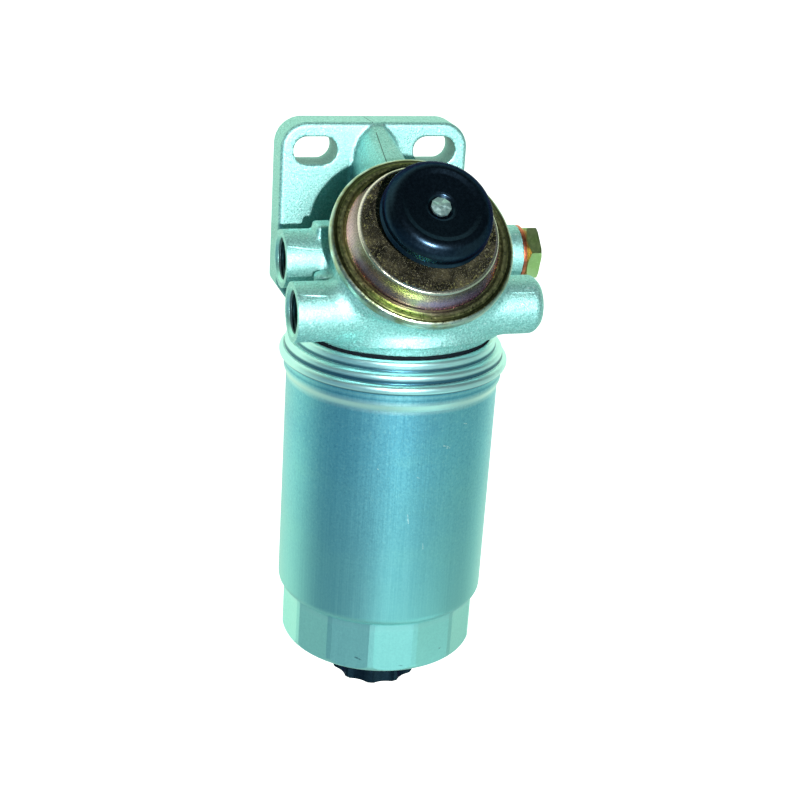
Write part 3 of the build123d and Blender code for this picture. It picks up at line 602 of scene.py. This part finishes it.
def casting(P):
    x, y, z = P[:, 0], P[:, 1], P[:, 2]
    # plate
    ax = np.abs(x)
    r = 10.5
    qx, qz = ax - (38.0 - r), z - (81.5 - r)
    top = np.where((qx > 0) & (qz > 0), np.hypot(qx, qz), np.maximum(qx, qz)) - r
    dx, dz = 8.5, 12.0
    ln = math.hypot(dx, dz)
    cham = (ax - 38.0) * (dz / ln) - (z - 16.4) * (dx / ln)
    outline = rmax(rmax(top, cham, 0.7), 4.0 - z, 2.2)
    plate = rmax(outline, 38.85 - y, 1.8)
    plate = rmax(plate, y - 52.05, 0.5)
    # body swept from the round flange to the tilted pump seat
    phi = np.arctan2(z - 16.5, y + 50.36)
    rho = np.hypot(z - 16.5, y + 50.36)
    s = np.clip(phi / (math.pi / 4), -0.1, 1.1)
    rc = 50.36 - 19.12 * s + 11.2 * s * s
    rr = 36.2 - 22.6 * s + 16.4 * s * s
    body = np.hypot(x, rho - rc) - rr
    body = np.maximum(body, (-phi) * np.minimum(rho, 60))
    body = np.maximum(body, (phi - math.pi / 4) * np.minimum(rho, 60))
    body = np.where((y + 50.36 < 0), np.maximum(body, 5.0), body)
    rad = np.hypot(x, y)
    flange = rmax(rmax(rad - 36.6, 12.0 - z, 0.6), z - 17.5, 1.0)
    px, py, ph = pump_local(x, y, z)
    pr = np.hypot(px, py)
    seat = rmax(rmax(pr - 32.4, ph + 5.3, 0.5), -9.6 - ph, 1.5)
    front = tube_x(x, y, z, -24.16, 26.55, 11.0, -46.8, 46.8, 0.35, 3.6)
    rear = tube_x(x, y, z, 6.25, 37.3, 11.0, -44.4, 48.85, 0.35, 0.7)
    boss = rmax(np.hypot(x + 31.0, y + 11.0) - 4.6, z - 36.7, 1.4)
    boss = np.maximum(boss, 16.0 - z)
    lug = box_d(x, y, z, (-32.4, -0.2, 41.0), (-24.8, 9.4, 51.2), 1.6)
    web = box_d(x, y, z, (-13.0, -2.0, 12.2), (13.0, 42.0, 51.8), 2.5)
    # rib: an arch on the plate that narrows to a flat band and slopes down to the pump seat
    w = np.clip((y - 2.0) / 36.85, 0, 1)
    zt = 69.2 + 11.2 * w
    u = zt - z
    hw0 = np.interp(u, [-2, 0, 5.4, 11.2, 19.2, 31.0], [3.2, 4.8, 8.2, 10.4, 12.0, 14.0])
    hw1 = np.interp(u, [-2, 0, 1.6, 4.2, 8.5, 18.4, 36.0], [0.4, 1.9, 4.0, 6.4, 8.1, 9.4, 11.0])
    flank = (ax - (hw0 * (1 - w) + hw1 * w)) * 0.8
    rib = rmax(flank, -u * 0.957, 0.35)
    rib = np.maximum(np.maximum(rib, -2.0 - y), y - 42.0)
    rib = np.maximum(rib, 38.0 - z)
    d = smin(body, flange, 4.0)
    d = smin(d, seat, 2.6)
    d = smin(d, front, 7.0)
    d = smin(d, rear, 5.0)
    d = smin(d, web, 4.0)
    d = smin(d, rib, 2.0)
    d = smin(d, boss, 1.8)
    d = smin(d, lug, 1.6)
    d = smin(d, plate, 1.5)
    # cuts
    lx = np.maximum(np.abs(ax - 24.25) - 3.25, 0)
    slot = np.hypot(lx, z - 70.5) - 5.5
    slot = np.maximum(slot, 30.0 - y)
    # small lead-in on both faces
    slot_in = np.hypot(lx, z - 70.5) - 5.5 - np.maximum(0, 0.5 - (y - 38.85)) * (y > 30)
    d = np.maximum(d, -np.minimum(slot, np.maximum(slot_in, 38.0 - y)))
    d = np.maximum(d, -np.maximum(rad - 45.4, z - 8.2))
    d = np.maximum(d, -np.maximum(rad - 40.6, z - 11.9))
    cav = np.maximum(np.maximum(13.5 - rad, rad - 28.5), z - 20.0)
    d = np.maximum(d, -cav)
    d = np.maximum(d, -np.maximum(rad - 8.0, z - 25.5))
    d = np.maximum(d, -np.maximum(rad - 4.5, z - 27.5))
    for yc, zc, x0, x1 in ((-24.16, 26.55, -46.8, 46.8), (6.25, 37.3, -44.4, 48.85)):
        q = np.hypot(y - yc, z - zc)
        depth = np.where(x < 0, x - x0, x1 - x)
        bore = np.maximum(q - 8.02, depth - 14.6)
        bore = np.minimum(bore, np.maximum(q - 4.5, depth - 60))
        bore = np.minimum(bore, np.maximum((q - 8.95 + depth) * 0.7071, -20.0 - depth))
        d = np.maximum(d, -bore)
    d = np.maximum(d, -np.maximum(pr - 26.4, -12.2 - ph))
    for qx_, qy_, rr_, lo_ in ((-10.5, 13.4, 6.0, -18.4), (15.5, -7.0, 6.0, -18.4), (17.4, 6.3, 2.0, -20.0),
                               (-18.2, -3.2, 2.0, -20.0), (0.0, 18.5, 2.0, -20.0)):
        d = np.maximum(d, -np.maximum(np.hypot(px - qx_, py - qy_) - rr_, lo_ - ph))
    return d


def contour(f, lo, hi, h):
    """Dual contouring of f = 0 with sharp edges kept: vertices (mm) and quads."""
    n = [int(math.ceil((hi[i] - lo[i]) / h)) + 1 for i in range(3)]
    ax = [lo[i] + h * np.arange(n[i]) for i in range(3)]
    G = np.empty(n, np.float32)
    yy, zz = np.meshgrid(ax[1], ax[2], indexing="ij")
    yz = np.stack([yy.ravel(), zz.ravel()], 1)
    for i in range(n[0]):
        P = np.empty((len(yz), 3))
        P[:, 0] = ax[0][i]
        P[:, 1:] = yz
        G[i] = f(P).reshape(n[1], n[2])
    G[G == 0] = 1e-6
    inside = G < 0
    cn = [n[0] - 1, n[1] - 1, n[2] - 1]
    total = cn[0] * cn[1] * cn[2]
    origin = np.array(lo)
    acc = {}
    cells_all, p_all, n_all, quads = [], [], [], []
    for d in range(3):
        e = np.zeros(3, int)
        e[d] = 1
        a = inside[:n[0] - e[0], :n[1] - e[1], :n[2] - e[2]]
        b_ = inside[e[0]:, e[1]:, e[2]:]
        idx = np.argwhere(a != b_)
        o1, o2 = [k for k in range(3) if k != d]
        keep = (idx[:, o1] > 0) & (idx[:, o2] > 0) & (idx[:, o1] < cn[o1]) & (idx[:, o2] < cn[o2])
        idx = idx[keep]
        g0 = G[idx[:, 0], idx[:, 1], idx[:, 2]].astype(float)
        jdx = idx + e
        g1 = G[jdx[:, 0], jdx[:, 1], jdx[:, 2]].astype(float)
        ta, tb, ga, gb = np.zeros(len(idx)), np.ones(len(idx)), g0.copy(), g1.copy()
        base = origin + idx * h
        for _ in range(4):
            tm = np.clip(ta + (tb - ta) * ga / (ga - gb), ta + 0.02 * (tb - ta), tb - 0.02 * (tb - ta))
            Pm = base.copy()
            Pm[:, d] += tm * h
            gm = f(Pm)
            same = np.sign(gm) == np.sign(ga)
            ta = np.where(same, tm, ta)
            ga = np.where(same, gm, ga)
            tb = np.where(same, tb, tm)
            gb = np.where(same, gb, gm)
        tm = ta + (tb - ta) * ga / (ga - gb)
        p = base.copy()
        p[:, d] += tm * h
        eps = 0.02
        nn = np.empty_like(p)
        for k in range(3):
            q = p.copy()
            q[:, k] += eps
            w = p.copy()
            w[:, k] -= eps
            nn[:, k] = f(q) - f(w)
        nn /= np.linalg.norm(nn, axis=1)[:, None] + 1e-12
        flip = g0 < 0
        quad = []
        for s1, s2 in ((-1, -1), (0, -1), (0, 0), (-1, 0)):
            c = idx.copy()
            c[:, o1] += s1
            c[:, o2] += s2
            lin = (c[:, 0] * cn[1] + c[:, 1]) * cn[2] + c[:, 2]
            quad.append(lin)
            cells_all.append(lin)
            p_all.append(p)
            n_all.append(nn)
        quad = np.stack(quad, 1)
        turn = flip if d != 1 else ~flip
        quad[~turn] = quad[~turn][:, ::-1]
        quads.append(quad)
    cells = np.concatenate(cells_all)
    p = np.concatenate(p_all)
    nn = np.concatenate(n_all)
    uniq, inv = np.unique(cells, return_inverse=True)
    M = len(uniq)
    cnt = np.bincount(inv, minlength=M).astype(float)
    mass = np.stack([np.bincount(inv, p[:, k], M) for k in range(3)], 1) / cnt[:, None]
    rel = p - mass[inv]
    dd = (nn * rel).sum(1)
    A = np.empty((M, 3, 3))
    B = np.empty((M, 3))
    for i in range(3):
        B[:, i] = np.bincount(inv, nn[:, i] * dd, M)
        for j in range(i, 3):
            A[:, i, j] = A[:, j, i] = np.bincount(inv, nn[:, i] * nn[:, j], M)
    lam = 0.05 * cnt
    for i in range(3):
        A[:, i, i] += lam
    sol = np.linalg.solve(A, B[..., None])[..., 0]
    V = mass + sol
    ci = np.stack([uniq // (cn[1] * cn[2]), (uniq // cn[2]) % cn[1], uniq % cn[2]], 1)
    low = origin + ci * h
    V = np.clip(V, low - 0.15 * h, low + 1.15 * h)
    Q = np.concatenate(quads)
    Q = np.searchsorted(uniq, Q)
    return V, Q


def mesh_object(name, V, faces, mat, body, sharp=None, smooth=True):
    me = bpy.data.meshes.new(name)
    V = (np.asarray(V) + SHIFT) * MM
    faces = [tuple(int(i) for i in q) for q in faces] if not isinstance(faces, np.ndarray) else faces
    if isinstance(faces, np.ndarray):
        k = faces.shape[1]
        me.vertices.add(len(V))
        me.vertices.foreach_set("co", V.astype(np.float32).ravel())
        me.loops.add(faces.size)
        me.loops.foreach_set("vertex_index", faces.astype(np.int32).ravel())
        me.polygons.add(len(faces))
        me.polygons.foreach_set("loop_start", np.arange(0, faces.size, k, dtype=np.int32))
        me.update(calc_edges=True)
        me.validate()
    else:
        me.from_pydata(V.tolist(), [], faces)
        me.update()
    if smooth:
        me.polygons.foreach_set("use_smooth", [True] * len(me.polygons))
    if sharp is not None:
        me.set_sharp_from_angle(angle=math.radians(sharp))
    o = bpy.data.objects.new(name, me)
    scene.collection.objects.link(o)
    me.materials.append(mats[mat])
    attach(o, body)
    return o


H = 0.78
V, Q = contour(casting, (-48.6, -52.4, 3.0), (50.6, 53.4, 82.6), H)
V = np.clip(V, (-46.8, -60.0, 4.0), (48.85, 52.05, 81.5))
head = mesh_object("head_casting", V, Q, "cast", "head", sharp=38)
dec = head.modifiers.new("reduce", "DECIMATE")
dec.ratio = min(1.0, 190000.0 / (2 * len(Q)))
print("casting faces", len(Q))
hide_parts("filter_head")

# ---------------------------------------------------------------------------
# small pieces that the solids leave out
# ---------------------------------------------------------------------------
def lathe(name, prof, mat, body, place, seg=128, sharp=35):
    """Closed (r, h) outline turned about an axis; place maps x, y, h arrays to the working frame."""
    n_ = len(prof)
    th = np.arange(seg) * 2 * math.pi / seg
    V_ = np.zeros((seg, n_, 3))
    for j, (r_, h_) in enumerate(prof):
        V_[:, j, 0] = r_ * np.cos(th)
        V_[:, j, 1] = r_ * np.sin(th)
        V_[:, j, 2] = h_
    F_ = []
    for i in range(seg):
        k = (i + 1) % seg
        for j in range(n_):
            l_ = (j + 1) % n_
            F_.append((i * n_ + j, k * n_ + j, k * n_ + l_, i * n_ + l_))
    return mesh_object(name, place(V_.reshape(-1, 3)), F_, mat, body, sharp)


def on_pump(P):
    return np.stack([P[:, 0], PC[1] + (P[:, 1] - P[:, 2]) * S45, PC[2] + (P[:, 1] + P[:, 2]) * S45], 1)


def upright(P):
    return P


def strip(name, yc, zc, R, stations, mat, body):
    """Low ridge on a cross tube: stations are (x, elevation in degrees, width above, width below, height)."""
    V_, F_ = [], []
    for x_, e_, wu, wd, hg in stations:
        e0 = math.radians(e_)
        for w_, r_ in ((wu, R - 0.06), (0.0, R + hg), (-wd, R - 0.06), (0.0, R - 0.4)):
            e1 = e0 + w_ / R
            V_.append((x_, yc - r_ * math.cos(e1), zc + r_ * math.sin(e1)))
    n_ = len(stations)
    for i in range(n_ - 1):
        for j in range(4):
            k = (j + 1) % 4
            F_.append((4 * i + j, 4 * i + k, 4 * i + 4 + k, 4 * i + 4 + j))
    F_.append((3, 2, 1, 0))
    F_.append((4 * n_ - 4, 4 * n_ - 3, 4 * n_ - 2, 4 * n_ - 1))
    return mesh_object(name, V_, F_, mat, body, 25)


# rolled edge of the pump's rim, with its cut teeth
lathe("rim_roll", [(28.72, -0.3), (32.55, -0.3), (32.50, 0.0), (32.2, 0.20), (31.7, 0.38), (31.0, 0.50), (30.4, 0.52), (29.8, 0.46),
                   (29.2, 0.30), (28.85, 0.10)], "zinc_rim", "head", on_pump, 144)
teeth = 168
V_, F_ = [], []
for i in range(teeth * 2):
    a0 = math.pi * i / teeth
    r0 = 28.28 if i % 2 else 28.46
    for r_, h_ in ((r0, -0.75), (r0, 0.0), (28.9, 0.06), (28.9, -0.75)):
        V_.append((r_ * math.cos(a0), r_ * math.sin(a0), h_))
for i in range(teeth * 2):
    k = (i + 1) % (teeth * 2)
    for j in range(4):
        l_ = (j + 1) % 4
        F_.append((4 * i + j, 4 * i + l_, 4 * k + l_, 4 * k + j))
mesh_object("rim_teeth", on_pump(np.array(V_)), F_, "zinc_rim", "head", 20)

# peened end of the rod
V_, F_ = [(0.0, 0.0, 24.02)], []
nf = 9
jit = (0.10, -0.14, 0.06, -0.08, 0.13, -0.10, 0.02, 0.12, -0.12)
for i in range(nf):
    a0 = 2 * math.pi * (i + 0.25 * jit[i]) / nf
    V_.append((1.5 * math.cos(a0), 1.5 * math.sin(a0), 23.98 + 1.3 * jit[(i * 4) % nf]))
for i in range(nf):
    a0 = 2 * math.pi * (i + 0.5 + 0.8 * jit[(i * 2) % nf]) / nf
    V_.append((3.7 * math.cos(a0), 3.7 * math.sin(a0), 23.62 + 0.9 * jit[i]))
for i in range(nf):
    a0 = 2 * math.pi * (i + 0.5 + 0.8 * jit[(i * 2) % nf]) / nf
    V_.append((3.75 * math.cos(a0), 3.75 * math.sin(a0), 22.9))
V_.append((0.0, 0.0, 22.9))
for i in range(nf):
    k = (i + 1) % nf
    F_.append((0, 1 + i, 1 + k))
    F_.append((1 + i, 1 + nf + i, 1 + k))
    F_.append((1 + k, 1 + nf + i, 1 + nf + k))
    F_.append((1 + nf + i, 1 + 2 * nf + i, 1 + 2 * nf + k, 1 + nf + k))
    F_.append((1 + 2 * nf + i, 1 + 3 * nf, 1 + 2 * nf + k))
mesh_object("rivet_head", on_pump(np.array(V_)), F_, "rivet", "pump_button", smooth=False)


def screw_ring(name, crest, root, wall, z0, z1, pitch, mat, body, place, seg=60, rows=8):
    """Threaded sleeve about an axis: crest and root radii of the thread, plain radius wall on its other side."""
    nz = int(round((z1 - z0) / pitch * rows)) + 1
    zs = np.linspace(z0, z1, nz)
    th = np.arange(seg) * 2 * math.pi / seg
    Z, T = np.meshgrid(zs, th, indexing="ij")
    ph = (Z / pitch - T / (2 * math.pi)) % 1.0
    tri = np.clip(np.abs(2 * ph - 1) * 1.25 - 0.125, 0, 1)
    ends = np.minimum(np.minimum((Z - z0), (z1 - Z)) / (0.5 * pitch), 1.0)
    Rr = root + (crest - root) * tri * ends
    A_ = np.stack([Rr * np.cos(T), Rr * np.sin(T), Z], -1).reshape(-1, 3)
    B_ = np.array([(wall * math.cos(a0), wall * math.sin(a0), z_) for z_ in (z0, z1) for a0 in th])
    F_ = []
    for i in range(nz - 1):
        for j in range(seg):
            k = (j + 1) % seg
            F_.append((i * seg + j, i * seg + k, (i + 1) * seg + k, (i + 1) * seg + j))
    o_ = nz * seg
    for j in range(seg):
        k = (j + 1) % seg
        F_.append((j, o_ + j, o_ + k, k))
        F_.append(((nz - 1) * seg + j, (nz - 1) * seg + k, o_ + seg + k, o_ + seg + j))
        F_.append((o_ + j, o_ + seg + j, o_ + seg + k, o_ + k))
    if wall > crest:
        F_ = [f_[::-1] for f_ in F_]
    return mesh_object(name, place(np.concatenate([A_, B_])), F_, mat, body, 30)


def port_place(x_face, inward, yc, zc):
    def f_(P):
        return np.stack([x_face + inward * P[:, 2], yc + inward * P[:, 0], zc + P[:, 1]], 1)
    return f_


# countersinks, and threaded liners painted dark as shade in the bores
for nm, xf, inw, yc, zc in (("port_thread_front_left", -46.8, 1, -24.16, 26.55), ("port_thread_front_right", 46.8, -1, -24.16, 26.55),
                            ("port_thread_rear_left", -44.4, 1, 6.25, 37.3)):
    lathe(nm.replace("thread", "countersink"), [(8.82, 0.01), (7.93, 0.90), (7.93, 1.2), (8.9, 1.2), (9.25, 0.5), (8.97, 0.06)], "machined", "head",
          port_place(xf, inw, yc, zc), 96)
    screw_ring(nm, 7.22, 7.98, 8.06, 0.95, 14.4, 1.5, "painted_bore_shade", "head", port_place(xf, inw, yc, zc))

stud = screw_ring("threaded_nipple", 7.96, 7.2, 5.0, -6.0, 25.3, 1.5, "steel", "head", upright)
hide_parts("center_stud")

# parting lines left by the die on the cross tubes, and the seam over the plate's top, drawn as a dark strip: a painted
# shade line
strip("parting_line_rear_left", 6.25, 37.3, 11.0, [(-43.6, 40.0, 0.10, 0.20, 0.02), (-41.0, 38.6, 0.14, 0.50, 0.20),
      (-37.0, 35.4, 0.14, 0.55, 0.22), (-33.0, 33.4, 0.14, 0.45, 0.16), (-29.5, 33.0, 0.10, 0.20, 0.03)], "cast", "head")
strip("die_mark_front_left", -24.16, 26.55, 11.0, [(-45.2, 51.5, 0.06, 0.10, 0.01), (-43.0, 50.6, 0.10, 0.40, 0.16),
      (-39.5, 49.2, 0.14, 0.85, 0.32), (-37.5, 48.2, 0.12, 0.70, 0.26), (-35.6, 47.2, 0.06, 0.15, 0.01)], "cast", "head")
strip("parting_line_front_left", -24.16, 26.55, 11.0, [(-45.4, 36.5, 0.25, 0.08, 0.04), (-42.0, 39.6, 0.45, 0.10, 0.18),
      (-38.5, 43.6, 0.45, 0.10, 0.18), (-35.8, 46.6, 0.2, 0.08, 0.03)], "cast", "head")
strip("parting_line_front_right", -24.16, 26.55, 11.0, [(26.0, 42.0, 0.12, 0.2, 0.02), (31.0, 42.0, 0.14, 0.40, 0.12),
      (38.0, 41.5, 0.14, 0.40, 0.14), (43.0, 41.0, 0.12, 0.2, 0.03)], "cast", "head")
V_ = []
for x_, y_, w_ in ((-1.6, 39.6, 0.12), (-1.9, 43.0, 0.2), (-2.4, 48.0, 0.2), (-2.6, 51.6, 0.12)):
    V_ += [(x_ - w_, y_, 81.44), (x_, y_, 81.44 + 0.7 * w_), (x_ + w_, y_, 81.44), (x_, y_, 81.0)]
F_ = [(3, 2, 1, 0), (12, 13, 14, 15)]
for i in range(3):
    for j in range(4):
        k = (j + 1) % 4
        F_.append((4 * i + j, 4 * i + k, 4 * i + 4 + k, 4 * i + 4 + j))
mesh_object("plate_seam", V_, F_, "seam", "head", 25)

# crease along the left edge of the rib's flat band: a dark strip, a painted shade line
V_ = []
for i in range(9):
    w_ = 0.86 - 0.80 * i / 8
    y_, z_ = 2.0 + 36.85 * w_, 69.2 + 11.2 * w_
    x_ = -(4.8 * (1 - w_) + 1.9 * w_) + 0.45
    V_ += [(x_ - 0.16, y_, z_ - 0.3), (x_ - 0.13, y_, z_ + 0.05), (x_ + 0.13, y_, z_ + 0.05), (x_ + 0.16, y_, z_ - 0.3)]
F_ = [(0, 1, 2, 3), (35, 34, 33, 32)]
for i in range(8):
    for j in range(4):
        k = (j + 1) % 4
        F_.append((4 * i + k, 4 * i + j, 4 * i + 4 + j, 4 * i + 4 + k))
mesh_object("rib_crease", V_, F_, "seam", "head", 25)
